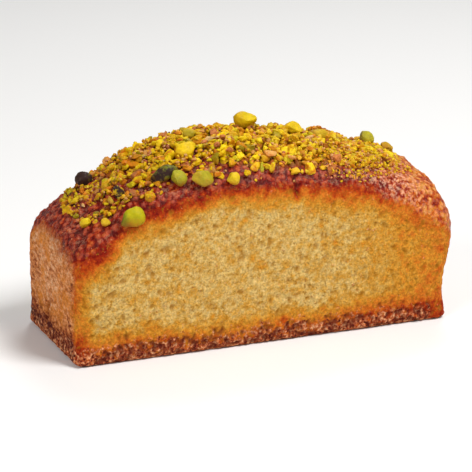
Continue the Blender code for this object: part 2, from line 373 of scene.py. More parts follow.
# %% The solid's own relief
CRUST_RELIEF = 0.6 * MM
CRUST_BUMP = 7 * MM
CRUST_LAYERS = (0.8, 2.1, 3)
SIDE_RELIEF = 0.3 * MM
SIDE_BUMP = 11 * MM
SIDE_SHIFT = (7, 3, 5)
TURNED_UP = (0.25, 0.75)
OFF_THE_FLOOR = (0.5 * MM, 3 * MM)
turned_up = smooth_step(*TURNED_UP, facing[:, 2])
upright = smooth_step(*OFF_THE_FLOOR, z) * (1 - np.abs(facing[:, 2]))
bumps = np.array([noise.fractal(place, *CRUST_LAYERS) for place in (smooth_cake / CRUST_BUMP).tolist()])
lift = CRUST_RELIEF * turned_up * bumps + SIDE_RELIEF * upright * wander(SIDE_BUMP, shift=SIDE_SHIFT)
print("coarse relief in mm:", round(float(lift.min() / MM), 2), "to", round(float(lift.max() / MM), 2))

# %% Blisters of the glaze
# They are about a millimetre wide and drawn out across the cake, and noise makes them unlike each other
BLISTER = 1.3 * MM
BLISTER_STRETCH = (1, 1.4, 1)
BLISTER_HEIGHT = 0.42 * MM
BLISTER_WANDER = 1.1 * MM
BLISTER_UNEVEN = 0.3
drawn_out = smooth_cake / BLISTER / BLISTER_STRETCH
nearest = np.array([noise.voronoi(place)[0][0] for place in drawn_out.tolist()])
nearest += BLISTER_UNEVEN * wander(BLISTER_WANDER, shift=13.0)
blisters = np.clip(1 - nearest, 0, 1) ** 2
lift += BLISTER_HEIGHT * crust * (blisters - blisters.mean())
print("blisters rise on average to", round(float(blisters.mean()), 2), "of their height")

# %% Wrinkles of the ends
# The ends wrinkled where the cake shrank away from the tin: two sizes of wrinkle, drawn out sideways
WRINKLE_DEPTH = 0.18 * MM
WRINKLES_FROM = (0.3 * MM, 3 * MM)
wrinkles = wander(1.3 * MM, (1, 2.4, 0.9), 2.0) + 0.9 * wander(0.8 * MM, (1, 2.2, 0.8), 6.0)
lift += WRINKLE_DEPTH * tin_side * wrinkles * smooth_step(*WRINKLES_FROM, z)
print("wrinkles spread by", round(float(wrinkles.std() * WRINKLE_DEPTH / MM), 2), "mm")

# %% The crease in the left end
# Where it lies across the end, how low it starts, where it begins to fade and where it ends
CREASE_Y = 3.8 * MM
CREASE_FOOT, CREASE_FADE, CREASE_TOP = 2.5 * MM, 8.5 * MM, 14 * MM
CREASE_WIDTH, CREASE_DEPTH = 0.75 * MM, 1.7 * MM
CREASE_SLANT = 0.27
line = CREASE_Y - CREASE_SLANT * (z - CREASE_FOOT) + MM * small
crease = np.exp(-(((y - line) / CREASE_WIDTH) ** 2)) * smooth_step(CREASE_FOOT - MM, CREASE_FOOT + MM, z)
crease *= (1 - smooth_step(CREASE_FADE, CREASE_TOP, z)) * (x < -BASE_LENGTH / 4)
lift -= CREASE_DEPTH * crease
print("crease:", int((crease > 0.5).sum()), "points pressed in")

# %% The notch in the edge of the crust
# The glaze ran down there, in the front. How far below the dome it starts, and how it fades
NOTCH_X, NOTCH_WIDTH, NOTCH_DEPTH = 7.5 * MM, 0.8 * MM, 0.7 * MM
NOTCH_START, NOTCH_END = (-1 * MM, 1.5 * MM), (4 * MM, 8 * MM)
NOTCH_BROWNING = 0.75
notch = np.exp(-(((x - NOTCH_X) / NOTCH_WIDTH) ** 2)) * (y < 0)
notch *= smooth_step(*NOTCH_START, below_dome) * (1 - smooth_step(*NOTCH_END, below_dome))
lift -= NOTCH_DEPTH * notch
browning += NOTCH_BROWNING * notch * (1 - browning)
print("notch:", int((notch > 0.5).sum()), "points pressed in")

# %% Crags of the foot and grain of the crumb
# Small crags on larger ones, but none right at the bottom, because the cake stands flat
CRAG_DEPTH = 0.48 * MM
CRAGS_FROM = (0.2 * MM, 1.5 * MM)
crags = wander(1.0 * MM, (1, 1, 1.3), 3.0) + 0.5 * wander(2.6 * MM, shift=11.0)
lift += CRAG_DEPTH * foot * crags * smooth_step(*CRAGS_FROM, z)

# Fine grain on a coarser one
CRUMB_DEPTH = 0.20 * MM
crumb = np.clip(1 - crust - tin_side - 0.5 * foot, 0, 1)
lift += CRUMB_DEPTH * crumb * (wander(0.9 * MM, shift=5.0) + 0.6 * wander(2.2 * MM, shift=8.0)) * upright
print("relief in mm:", round(float(lift.min() / MM), 2), "to", round(float(lift.max() / MM), 2))

# %% [markdown]
# ## Pores
#
# Gas left pores in the crumb: very many small ones and a few larger ones, most of them a little higher than
# wide. A noise texture would make them all alike, so they are drawn one by one from a steep spread of sizes,
# and each presses the grid in around it.

# %% Press the pores in
PORES = 3000
PORE_AREA = (0.97, -0.92, 0.85)
PORE_RADII = (0.26 * MM, 0.66 * MM)
# The higher this is, the fewer are large
PORE_STEEPNESS = 5
# How far they lean, in radians, and how much longer than wide they are
PORE_LEAN = 0.7
PORE_STRETCH = (1.0, 2.0)
PORE_UNEVEN = 0.9
# How deep a pore is for its radius
PORE_DEPTH = 0.8
FOOT_PITS = 800
FOOT_PIT_AREA = (0.9, -0.99, -0.78)
FOOT_PIT_RADII = (0.30 * MM, 0.70 * MM)
pore = np.zeros(len(x))


def press(middle, radius):
    """Presses an uneven hole into the grid, drawn out in a direction near upright."""
    turn, stretch = chance.gauss(0, PORE_LEAN), chance.uniform(*PORE_STRETCH)
    for place, place_number, away in grid_tree.find_range(middle, 1.3 * stretch * radius):
        offset = place - middle
        up = (offset.z * math.cos(turn) + offset.x * math.sin(turn)) / stretch
        across = offset.x * math.cos(turn) - offset.z * math.sin(turn)
        away = math.hypot(across, up, offset.y) + PORE_UNEVEN * radius * small[place_number]
        if away < radius:
            pore[place_number] = max(pore[place_number], (1 - (away / radius) ** 2) * radius)


for count in range(PORES):
    smallest, largest = PORE_RADII
    press(wall_spot(*PORE_AREA), smallest + (largest - smallest) * chance.random() ** PORE_STEEPNESS)
for count in range(FOOT_PITS):
    press(wall_spot(*FOOT_PIT_AREA), chance.uniform(*FOOT_PIT_RADII))
lift -= PORE_DEPTH * pore * (1 - crust)
print("pores:", int((pore > 0).sum()), "grid points pressed in")

# %% Painted shade in the pores, and where sugar grains and painted glints lie
# A pore this deep gets the full painted shade inside, and the crease gets more painted shade still
FULL_SHADE_PORE_DEPTH = 0.45 * MM
CREASE_SHADE = 1.5
pore_shade = np.clip(pore / FULL_SHADE_PORE_DEPTH, 0, 1) + CREASE_SHADE * crease
# Pale grains on the glaze, partly sugar and partly painted highlight: few on the left, more and more to the
# right, and few again over that end
SUGAR_GLINT_LEAST, SUGAR_GLINT_MORE, SUGAR_GLINT_MORE_RANGE = 0.12, 0.58, (12 * MM, 32 * MM)
SUGAR_GLINT_UNEVEN, SUGAR_GLINT_MOST = 0.3, 0.9
SUGAR_GLINT_LOST, SUGAR_GLINT_LOST_RANGE = 0.75, (37 * MM, 45 * MM)
sugar_and_glint = SUGAR_GLINT_LEAST + SUGAR_GLINT_MORE * smooth_step(*SUGAR_GLINT_MORE_RANGE, x) + SUGAR_GLINT_UNEVEN * middling
sugar_and_glint = crust * np.clip(sugar_and_glint, 0, SUGAR_GLINT_MOST)
sugar_and_glint *= 1 - SUGAR_GLINT_LOST * smooth_step(*SUGAR_GLINT_LOST_RANGE, x)
print("sugared:", round(float(sugar_and_glint.mean()), 2), "of the cake's points on average")

# %% Build the cake's mesh
# The relief moves every point square to the surface, but none below the floor
places = smooth_cake + facing * lift[:, None] - [MIDDLE_X, 0, 0]
places[:, 2] = np.maximum(places[:, 2], 0)


def mesh_piece(name, places, faces, numbers):
    """An object from arrays, shaded smooth, with one attribute for each row of numbers."""
    mesh = bpy.data.meshes.new(name)
    mesh.from_pydata(places.tolist(), [], faces)
    for key, values in numbers.items():
        kind = "FLOAT" if values.ndim == 1 else "FLOAT_COLOR"
        field = "value" if values.ndim == 1 else "color"
        mesh.attributes.new(key, kind, "POINT").data.foreach_set(field, values.astype(np.float32).ravel())
    mesh.shade_smooth()
    piece = bpy.data.objects.new(name, mesh)
    bpy.context.scene.collection.objects.link(piece)
    return piece


# The pore numbers are the share of painted shade that each pore and the crease get
cake = mesh_piece("baked_cake", places, faces.tolist() + [underside.tolist()], {
    "browning": browning, "crust": crust, "tin_side": tin_side, "foot": foot, "pore": pore_shade,
    "blister": blisters, "sugar_and_glint": sugar_and_glint, "tin_heat": tin_heat,
})
solid = BVHTree.FromObject(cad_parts[CAKE], bpy.context.evaluated_depsgraph_get())
gaps = [solid.find_nearest(place)[3] for place in places[:: 97].tolist()]
print("the fine surface lies", round(float(np.median(gaps)) / MM, 2), "mm from the solid's, at the median")

# %% [markdown]
# ## Colours and nodes
#
# Colours are given as sRGB hex values, the way a paint program shows them, and were adjusted until the
# picture looked like the real cake. But Blender's shaders count in linear light. One function turns the first
# into the second. Another adds a node: its settings, then each input as a plain value or as a link from
# another node's output.
#
# Patterns are given by their size in millimetres. The finest are about half a millimetre. Real crumb grain
# is finer, but it would not show in a picture of the whole cake, so it is drawn that coarse.


# %% Helpers for materials
def linear(colour):
    """A shader's linear colour from an sRGB hex value."""
    parts = [int(colour[i:i + 2], 16) / 255 for i in (1, 3, 5)]
    return (*(c / 12.92 if c <= 0.04045 else ((c + 0.055) / 1.055) ** 2.4 for c in parts), 1)


def add(tree, kind, inputs=None, stops=None, **settings):
    """Adds one node with its settings, its colour stops and its inputs, and returns its outputs."""
    node = tree.nodes.new("ShaderNode" + kind)
    for name, value in settings.items():
        setattr(node, name, value)
    for name, value in (inputs or {}).items():
        if isinstance(value, bpy.types.NodeSocket):
            tree.links.new(value, node.inputs[name])
        else:
            node.inputs[name].default_value = value
    if stops:
        ramp = node.color_ramp.elements
        while len(ramp) < len(stops):
            ramp.new(1)
        for element, (position, colour) in zip(ramp, stops):
            element.position, element.color = position, linear(colour)
    return node.outputs


def per(size):
    """The scale of a texture whose pattern repeats about every so many millimetres."""
    return 1 / (size * MM)


# A noise texture has a faint seam where a coordinate is 0, so the patterns are moved off the piece's middle
SEAM_AWAY = (0.0737, 0.0519, 0.0613)


def pattern_place(tree):
    """The place on the piece, in metres, that its patterns are drawn by."""
    place = add(tree, "TexCoord")["Object"]
    return add(tree, "Mapping", {"Vector": place, "Location": SEAM_AWAY})["Vector"]


print("sRGB #C4641B is", [round(part, 3) for part in linear("#C4641B")], "in linear light")


# %% [markdown]
# ## Baked almond sponge
#
# Ground almond, butter and egg white give a pale yellow crumb. Heat takes it through gold and orange to a
# red-brown crust. So one ramp holds the whole scale from pale to burnt, and the grid's numbers say where a
# point is on it. On top of that come grain, pores with painted shade inside, painted glints on the glaze, the
# mottled ends and the crumbling foot.

# %% Colours of the sponge
BAKED = (
    (0.00, "#D2B06A"), (0.12, "#CBA050"), (0.24, "#CA943A"), (0.36, "#CA8828"), (0.48, "#CB7A24"),
    (0.58, "#C4641B"), (0.68, "#B04410"), (0.78, "#94290D"), (0.88, "#7A160A"), (1.00, "#5A0E08"),
)
TIN_BAKED = (
    (0.29, "#501C14"), (0.38, "#984E2A"), (0.46, "#C67A44"), (0.54, "#D29260"), (0.66, "#E4B48C"),
)
# The foot's grains, from burnt to golden
FOOT_GRAINS = ((0.33, "#441210"), (0.40, "#924028"), (0.50, "#BE6C40"), (0.61, "#E6AA7C"))
# The numbers of a colour mix's two colours and of its result among the node's sockets
MIX_A, MIX_B, MIXED = 6, 7, 2
print("the scale from pale to burnt has", len(BAKED), "stops")


# %% The scale from pale to burnt
def browned(tree, at, kind):
    """The baked colour, from how far each point was browned. Mottling moves the points along the scale."""
    mottle = add(tree, "TexNoise", {"Vector": at, "Scale": per(1.5), "Detail": 3, "Roughness": 0.65})["Fac"]
    mottle = add(tree, "Math", {0: mottle, 1: 0.5}, operation="SUBTRACT")["Value"]
    reach = add(tree, "MapRange", {
        "Value": kind["browning"], "From Min": 0.15, "From Max": 0.45, "To Min": 0.9, "To Max": 0.62,
    })["Result"]
    reach = add(tree, "Math", {0: kind["crust"], 1: 0.34, 2: reach}, operation="MULTIPLY_ADD")["Value"]
    baked = add(tree, "Math", {0: mottle, 1: reach, 2: kind["browning"]}, operation="MULTIPLY_ADD")["Value"]
    # The crust is darker in the grooves between its blisters
    groove = add(tree, "MapRange", {
        "Value": kind["blister"], "From Min": 0.0, "From Max": 0.35, "To Min": 0.26, "To Max": -0.04,
    })["Result"]
    baked = add(tree, "Math", {0: kind["crust"], 1: groove, 2: baked}, operation="MULTIPLY_ADD")["Value"]
    return add(tree, "ValToRGB", {"Fac": baked}, stops=BAKED)["Color"]


# %% What lies on the crust
def glazed_crust(tree, at, kind, colour):
    """Blisters and sugar with painted highlight, and nut dust, on the crust. Sugar grains are drawn coarser,
    so that they show.
    """
    # The blisters are paler and pinker on top, partly where the glaze is thin and partly as painted highlight
    blister = add(tree, "MapRange", {"Value": kind["blister"], "From Min": 0.28, "From Max": 0.6})["Result"]
    blister = add(tree, "Math", {0: blister, 1: kind["crust"]}, operation="MULTIPLY")["Value"]
    blister = add(tree, "Math", {0: blister, 1: 0.52}, operation="MULTIPLY")["Value"]
    tip_tint_and_highlight = add(tree, "MapRange", {"Value": kind["browning"], "From Min": 0.55, "From Max": 0.85})["Result"]
    tip_tint_and_highlight = add(tree, "Mix", {
        0: tip_tint_and_highlight, MIX_A: linear("#F0A874"), MIX_B: linear("#BE5E46"),
    }, data_type="RGBA")[MIXED]
    colour = add(tree, "Mix", {0: blister, MIX_A: colour, MIX_B: tip_tint_and_highlight}, data_type="RGBA")[MIXED]

    # Pale grains on the glaze, partly sugar and partly painted highlight, with darker red between them
    grain_and_glint_noise = add(tree, "TexNoise", {"Vector": at, "Scale": per(1.0), "Detail": 3, "Roughness": 0.8})["Fac"]
    sugar_and_glint_share = add(tree, "MapRange", {"Value": grain_and_glint_noise, "From Min": 0.48, "From Max": 0.59})["Result"]
    between = add(tree, "MapRange", {"Value": grain_and_glint_noise, "From Min": 0.48, "From Max": 0.38})["Result"]
    for share, tint in ((sugar_and_glint_share, "#EAB090"), (between, "#80180E")):
        share = add(tree, "Math", {0: share, 1: kind["sugar_and_glint"]}, operation="MULTIPLY")["Value"]
        colour = add(tree, "Mix", {0: share, MIX_A: colour, MIX_B: linear(tint)}, data_type="RGBA")[MIXED]

    # Nut dust turned the glaze golden brown between the nuts
    dust = add(tree, "Math", {0: kind["dusted"], 1: 0.7}, operation="MULTIPLY")["Value"]
    return add(tree, "Mix", {0: dust, MIX_A: colour, MIX_B: linear("#B07414")}, data_type="RGBA")[MIXED]


# %% The bare crumb
def almond_crumb(tree, at, kind, colour):
    """Painted shade in pores too small for the grid, pale flecks of ground almond where the crumb is hardly
    browned.
    """
    fleck = add(tree, "TexNoise", {"Vector": at, "Scale": per(1.0), "Detail": 2, "Roughness": 0.75})["Fac"]
    bare = add(tree, "Math", {0: 1.0, 1: kind["crust"]}, operation="SUBTRACT")["Value"]
    small_pore_shade = add(tree, "MapRange", {
        "Value": fleck, "From Min": 0.59, "From Max": 0.64, "To Min": 0, "To Max": 0.65,
    })["Result"]
    small_pore_shade = add(tree, "Math", {0: small_pore_shade, 1: bare}, operation="MULTIPLY")["Value"]
    colour = add(tree, "Mix", {0: small_pore_shade, MIX_A: colour, MIX_B: linear("#A06A12")}, data_type="RGBA")[MIXED]
    almond = add(tree, "MapRange", {
        "Value": fleck, "From Min": 0.42, "From Max": 0.30, "To Min": 0, "To Max": 0.4,
    })["Result"]
    unbaked = add(tree, "MapRange", {"Value": kind["browning"], "From Min": 0.35, "From Max": 0.1})["Result"]
    almond = add(tree, "Math", {0: almond, 1: unbaked}, operation="MULTIPLY")["Value"]
    return add(tree, "Mix", {0: almond, MIX_A: colour, MIX_B: linear("#E6C88E")}, data_type="RGBA")[MIXED]


# %% The ends
def tin_baked_end(tree, at, kind, colour):
    """Specks drawn out sideways, darker where the tin was hotter, and orange patches where it was cooler."""
    sideways = add(tree, "Mapping", {"Vector": at, "Scale": (1, 0.55, 1.15)})["Vector"]
    speck = add(tree, "TexNoise", {
        "Vector": sideways, "Scale": per(1.1), "Detail": 4, "Roughness": 0.7,
    })["Fac"]
    speck = add(tree, "Math", {0: speck, 1: kind["tin_heat"]}, operation="SUBTRACT")["Value"]
    tin = add(tree, "ValToRGB", {"Fac": speck}, stops=TIN_BAKED)["Color"]
    patch = add(tree, "TexNoise", {"Vector": at, "Scale": per(7), "Detail": 3, "Roughness": 0.6})["Fac"]
    patch = add(tree, "MapRange", {
        "Value": patch, "From Min": 0.46, "From Max": 0.62, "To Min": 0, "To Max": 0.7,
    })["Result"]
    cooler = add(tree, "MapRange", {"Value": kind["tin_heat"], "From Min": 0.14, "From Max": 0.03})["Result"]
    patch = add(tree, "Math", {0: patch, 1: cooler}, operation="MULTIPLY")["Value"]
    tin = add(tree, "Mix", {0: patch, MIX_A: tin, MIX_B: linear("#D07A24")}, data_type="RGBA")[MIXED]
    return add(tree, "Mix", {0: kind["tin_side"], MIX_A: colour, MIX_B: tin}, data_type="RGBA")[MIXED]


# %% The foot's grains
def crumbling_foot(tree, at, kind, colour):
    """Burnt and golden grains, more of them burnt lower down. Returns the colour and the foot's share."""
    grains = add(tree, "TexNoise", {"Vector": at, "Scale": per(0.8), "Detail": 2, "Roughness": 0.6})["Fac"]
    crowding = add(tree, "MapRange", {
        "Value": kind["foot"], "From Min": 0.75, "From Max": 1.0, "To Min": 0.02, "To Max": 0.06,
    })["Result"]
    burnt = add(tree, "Math", {0: grains, 1: crowding}, operation="SUBTRACT")["Value"]
    burnt = add(tree, "ValToRGB", {"Fac": burnt}, stops=FOOT_GRAINS)["Color"]
    ragged = add(tree, "TexNoise", {"Vector": at, "Scale": per(1.3), "Detail": 3, "Roughness": 0.7})["Fac"]
    ragged = add(tree, "Math", {0: ragged, 1: 3.2, 2: kind["foot"]}, operation="MULTIPLY_ADD")["Value"]
    share = add(tree, "MapRange", {"Value": ragged, "From Min": 2.02, "From Max": 2.44})["Result"]
    return add(tree, "Mix", {0: share, MIX_A: colour, MIX_B: burnt}, data_type="RGBA")[MIXED], share


# %% The sponge's whole colour
def sponge_colour(tree, at, kind, grain):
    """Colour of the baked sponge: each step lays its own kind of surface over the one before, and the pores
    get painted shade last.
    """
    colour = browned(tree, at, kind)
    for layer in (glazed_crust, almond_crumb, tin_baked_end):
        colour = layer(tree, at, kind, colour)
    colour, share = crumbling_foot(tree, at, kind, colour)
    # Grain makes all of it a little lighter or darker
    light = add(tree, "MapRange", {
        "Value": grain, "From Min": 0.3, "From Max": 0.7, "To Min": 0.66, "To Max": 1.22,
    })["Result"]
    colour = add(tree, "VectorMath", {0: colour, 3: light}, operation="SCALE")["Vector"]

    # Painted shade inside pores, pits and the crease: golden brown in the crumb, dark red-brown in the foot
    # and the ends
    near_foot = add(tree, "MapRange", {"Value": kind["foot"], "From Max": 0.3})["Result"]
    dark = add(tree, "Math", {0: near_foot, 1: kind["tin_side"]}, operation="MAXIMUM")["Value"]
    inside = add(tree, "Mix", {
        0: dark, MIX_A: linear("#A46C18"), MIX_B: linear("#5C2014"),
    }, data_type="RGBA")[MIXED]
    depth = add(tree, "MapRange", {"Value": share, "To Min": 0.66, "To Max": 0.78})["Result"]
    shade_inside = add(tree, "Math", {0: kind["pore"], 1: depth}, operation="MULTIPLY", use_clamp=True)["Value"]
    return add(tree, "Mix", {0: shade_inside, MIX_A: colour, MIX_B: inside}, data_type="RGBA")[MIXED]


# %% [markdown]
# ## Two finishes on one cake
#
# The colour is one continuous thing, but the gloss isn't: the crumb and the ends are dry and matt, and the
# dome has a sugar glaze. A matt surface seen at a low angle must not pick up a grey sheen, and a shader's
# strength of gloss is a single number here, so crumb and glaze are two materials over the same colour nodes.

# %% The two materials
# The grid's numbers that the colour is worked out from
FIELDS = ("browning", "crust", "tin_side", "foot", "pore", "blister", "sugar_and_glint", "tin_heat", "dusted")


def sponge(name, gloss, roughness, grain_height, softness):
    """Baked almond sponge, by its gloss, range of roughness, grain height in mm and inner glow."""
    material = bpy.data.materials.new(name)
    material.use_nodes = True
    tree = material.node_tree
    shader = tree.nodes["Principled BSDF"]
    at = pattern_place(tree)
    kind = {field: add(tree, "Attribute", attribute_name=field)["Fac"] for field in FIELDS}
    grain = add(tree, "TexNoise", {"Vector": at, "Scale": per(0.55), "Detail": 2, "Roughness": 0.6})["Fac"]
    tree.links.new(sponge_colour(tree, at, kind, grain), shader.inputs["Base Color"])
    # Some patches are duller than others
    dull = add(tree, "TexNoise", {"Vector": at, "Scale": per(1.1), "Detail": 2, "Roughness": 0.6})["Fac"]
    rough = add(tree, "MapRange", {
        "Value": dull, "From Min": 0.40, "From Max": 0.56, "To Min": roughness[0], "To Max": roughness[1],
    })["Result"]
    tree.links.new(rough, shader.inputs["Roughness"])
    # The grain stands up as fine bumps
    fine = add(tree, "TexNoise", {"Vector": at, "Scale": per(0.4), "Detail": 2, "Roughness": 0.6})["Fac"]
    height = add(tree, "Math", {0: fine, 1: grain}, operation="ADD")["Value"]
    bump = add(tree, "Bump", {"Height": height, "Distance": grain_height * MM, "Strength": 1.0})["Normal"]
    tree.links.new(bump, shader.inputs["Normal"])
    # The fat and sugar in it bend light about as oil does. Light goes a little way in, and red light the
    # furthest, which takes the hardness out of the shadows in small pores
    shader.inputs["IOR"].default_value = 1.47
    shader.inputs["Specular IOR Level"].default_value = gloss
    shader.inputs["Subsurface Weight"].default_value = softness
    shader.inputs["Subsurface Radius"].default_value = (1.0, 0.5, 0.2)
    shader.inputs["Subsurface Scale"].default_value = 1.2 * MM
    return material


# Dry crumb scatters light and hardly shines. Glaze is smooth, but its grain breaks the shine into specks
cake.data.materials.append(sponge(
    "baked_almond_crumb", gloss=0.08, roughness=(0.75, 0.9), grain_height=0.16, softness=0.10,
))
cake.data.materials.append(sponge(
    "sugar_glazed_crust", gloss=0.12, roughness=(0.14, 0.55), grain_height=0.14, softness=0.05,
))
glazed = np.append(crust[faces].mean(axis=1) > 0.5, False)
cake.data.polygons.foreach_set("material_index", glazed.astype(np.int32))
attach(cake, "root")
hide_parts(CAKE)
print("cake dressed:", [material.name for material in cake.data.materials])
print("glazed faces:", int(glazed.sum()), "of", len(glazed))

# %% [markdown]
# ## Where the nuts lie
#
# Pistachios were chopped and strewn over the fresh glaze, so they crowd round the ridge, thin out down the
# shoulders and rest on each other. Physics could let them fall, but that is slow for thousands of pieces. A
# map of how thick the nuts lie does the same job: each piece nestles in among those under it, and raises the
# map there. One that would stand too high is pressed in.

# %% Places of the large pieces
# They are as many and as large as on the plain solid, but strewn anew
NUT_PATCH_LEFT = -44.5 * MM
NUT_PATCH_RIGHT = 44 * MM
NUT_PATCH_WIDTH = 36 * MM
# How the patch narrows towards each end: later with a higher first power, and the second rounds its tip
LEFT_PATCH_END = (8, 0.35)
RIGHT_PATCH_END = (3, 0.5)
NUT_COUNT = 165
NUT_LARGEST = 3.4 * MM
NUT_SMALLEST = 2.0 * MM
# Each is tried at so many places, and lies where its gap is widest
NUT_TRIES = 24
PLACE_SEED = 42
# Towards both ends they were chopped finer, by this share
FINER_ENDS, FINER_RANGE = 0.35, (34 * MM, 42 * MM)

# Kernels that stand out: x, y, length, width and height in mm, turn in degrees, lift in mm, how far one end
# tapers and bends, colours of the flesh and of the tapered end, and how far skinned. The tapered end's colour
# is partly the nut's own and partly painted shade
KERNELS = (
    (-34.7, -18.3, 6.4, 5.0, 4.0, 24, 0.2, 0.45, 0.25, "#B6AC08", "#5A7210", 0.0),
    (-24.3, -13.2, 7.0, 3.8, 3.6, -4, 0.3, 0.2, 0.1, "#70741E", "#46401E", 0.36),
    (-22.2, -16.4, 4.2, 3.8, 3.8, 50, 0.3, 0.75, 0.2, "#ACA522", "#96901E", 0.0),
    (-17.5, -17.5, 5.6, 4.0, 3.8, 0, 0.2, 0.1, 0.0, "#AFA222", "#B89A20", 0.1),
    (-37.3, 8.4, 4.4, 4.0, 3.8, 20, 0.2, 0.2, 0.0, "#84821C", "#3E2A2A", 0.45),
    (3.7, 3.3, 4.2, 3.6, 3.4, 0, 0, 0, 0, "#A85A1E", "#8A3E1C", 0.3),
    (2.4, 3.4, 6.2, 4.6, 4.4, 0, 2.3, 0.3, 0.1, "#DCBC06", "#D0A808", 0.0),
    (14.4, 0.3, 6.0, 4.8, 3.8, -12, 0.7, 0.3, 0.2, "#E0BC14", "#DCA810", 0.0),
    (21.9, 0.8, 6.6, 4.2, 3.2, 12, 0.2, 0.3, 0.1, "#C8A41C", "#A87C1C", 0.1),
    (-16.6, -6.4, 6.2, 5.0, 3.6, 15, 0.2, 0.3, 0.2, "#E6C010", "#E0B010", 0.0),
    (-12.6, 1.5, 4.0, 3.8, 3.4, 60, 0.5, 0.3, 0.0, "#D8AC14", "#B09A1C", 0.0),
    (-9.2, -18.6, 3.2, 3.2, 3.0, 0, 0.2, 0.1, 0, "#E2BF1A", "#E2BF1A", 0.0),
    (34.4, 0.2, 3.4, 3.2, 3.0, 0, 0, 0, 0, "#B8782A", "#A8602A", 0.0),
    (34.7, 0.5, 4.2, 3.8, 3.4, 0, 1.3, 0.2, 0, "#B0A420", "#8E8420", 0.1),
    (41.0, 0.3, 3.8, 3.4, 3.2, 40, 0.0, 0.2, 0, "#C49A24", "#B07C28", 0.05),
    (37.2, -8.2, 3.4, 3.0, 2.6, -10, 0.1, 0.2, 0, "#E6C416", "#DDBB1E", 0.0),
    (-43.9, -11.5, 2.9, 2.6, 2.4, 10, 0.1, 0.1, 0, "#E2C41A", "#D8B418", 0.0),
    (-40.2, -15.1, 2.2, 2.1, 2.0, 0, 0.1, 0, 0, "#DDB422", "#D8A824", 0.0),
)


def patch_half_width(x):
    """Half the width of the patch of nuts at x."""
    if x < PEAK_X:
        share, (power, sharpness) = (x - PEAK_X) / (NUT_PATCH_LEFT - PEAK_X), LEFT_PATCH_END
    else:
        share, (power, sharpness) = (x - PEAK_X) / (NUT_PATCH_RIGHT - PEAK_X), RIGHT_PATCH_END
    return NUT_PATCH_WIDTH / 2 * (1 - min(1.0, share) ** power) ** sharpness


def nut_places():
    """Where the large chopped nuts lie, as x, y and size: each in the widest gap that it finds."""
    draw = random.Random(PLACE_SEED)
    kernels = [(x * MM, y * MM, length * MM) for x, y, length, *rest in KERNELS]
    placed = []
    for count in range(NUT_COUNT):
        size = NUT_LARGEST + (NUT_SMALLEST - NUT_LARGEST) * count / NUT_COUNT
        widest, best = None, None
        for _ in range(NUT_TRIES):
            x = draw.uniform(NUT_PATCH_LEFT, NUT_PATCH_RIGHT)
            y = draw.uniform(-1, 1) * patch_half_width(x)
            gap = min(math.hypot(x - a, y - b) - (size + other) / 2 for a, b, other in kernels + placed)
            if widest is None or gap > widest:
                widest, best = gap, (x, y, size)
        placed.append(best)
    return placed


large = [(x, y, size * (1 - FINER_ENDS * smooth_step(*FINER_RANGE, abs(x)))) for x, y, size in nut_places()]
print("large pieces:", len(large), "and kernels:", len(KERNELS))

# %% Where nut dust lies on the glaze
# It lies so far inside the edge of the patch, and only from the middle of the cake to its right-hand end
DUSTED_EDGE = (1.0 * MM, 4.0 * MM)
DUSTED_FROM_LEFT = (-14 * MM, 4 * MM)
DUSTED_FACING_UP = (0.5, 0.8)
dusted = np.array([patch_half_width(max(NUT_PATCH_LEFT, min(NUT_PATCH_RIGHT, px))) for px in x])
dusted = smooth_step(*DUSTED_EDGE, dusted - np.abs(y) + 2 * MM * middling) * crust
dusted *= smooth_step(*DUSTED_FROM_LEFT, x) * smooth_step(*DUSTED_FACING_UP, facing[:, 2])
cake.data.attributes.new("dusted", "FLOAT", "POINT").data.foreach_set("value", dusted.astype(np.float32))
print("dusted:", round(float(dusted.mean()), 2), "of the cake's points on average")

# %% The map of how thick the nuts lie
PILE_STEP = 0.25 * MM
PILE_MARGIN = 4 * MM
# How far a piece nestles between its neighbours, how much of its bulge the next ones rest on, and how high
# the top of a piece may come before it is pressed in among the others
NESTLE = 0.45
PACKED = 0.62
THICKEST = 3.0 * MM
# Towards the tips of the patch they lie thinner: by how much, and between which shares of the way to a tip
THINNER_TIPS, TIPS = 0.4, (0.6, 0.95)
# Where else they lie thinner: at which x, how far to each side, and by which share. A share below 0 makes a
# thicker place. These places run askew over the ridge, by so much x for each y
HOLLOWS = ((-38.5, 3.2, 0.8), (-31.0, 3.0, -0.4), (18.3, 1.3, 0.5), (30.0, 2.6, 0.7), (44.5, 2.6, 0.8))
HOLLOW_SKEW = 0.41

pile_low = np.array([NUT_PATCH_LEFT - PILE_MARGIN, -NUT_PATCH_WIDTH / 2 - PILE_MARGIN])
pile = np.zeros([math.ceil(size / PILE_STEP) for size in (-2 * pile_low[0], -2 * pile_low[1])])
skin = BVHTree.FromPolygons((places + [MIDDLE_X, 0, 0]).tolist(), faces.tolist())
print("map of the pile:", pile.shape, "cells")


# %% Laying a piece on the pile
def land(x, y):
    """The cake's surface straight below the point (x, y): its place and the way that it faces."""
    spot, way, *rest = skin.ray_cast(Vector((x, y, 2 * PEAK_HEIGHT)), Vector((0, 0, -1)))
    return spot, way


def cell_of(x, y):
    """The cell of the map that holds the point (x, y)."""
    return [round(value / PILE_STEP) for value in (x - pile_low[0], y - pile_low[1])]


def way_to_tip(x):
    """How far along x is from the cake's middle, at 0, to the tip of the patch on its side, at 1."""
    return x / NUT_PATCH_RIGHT if x > 0 else x / NUT_PATCH_LEFT


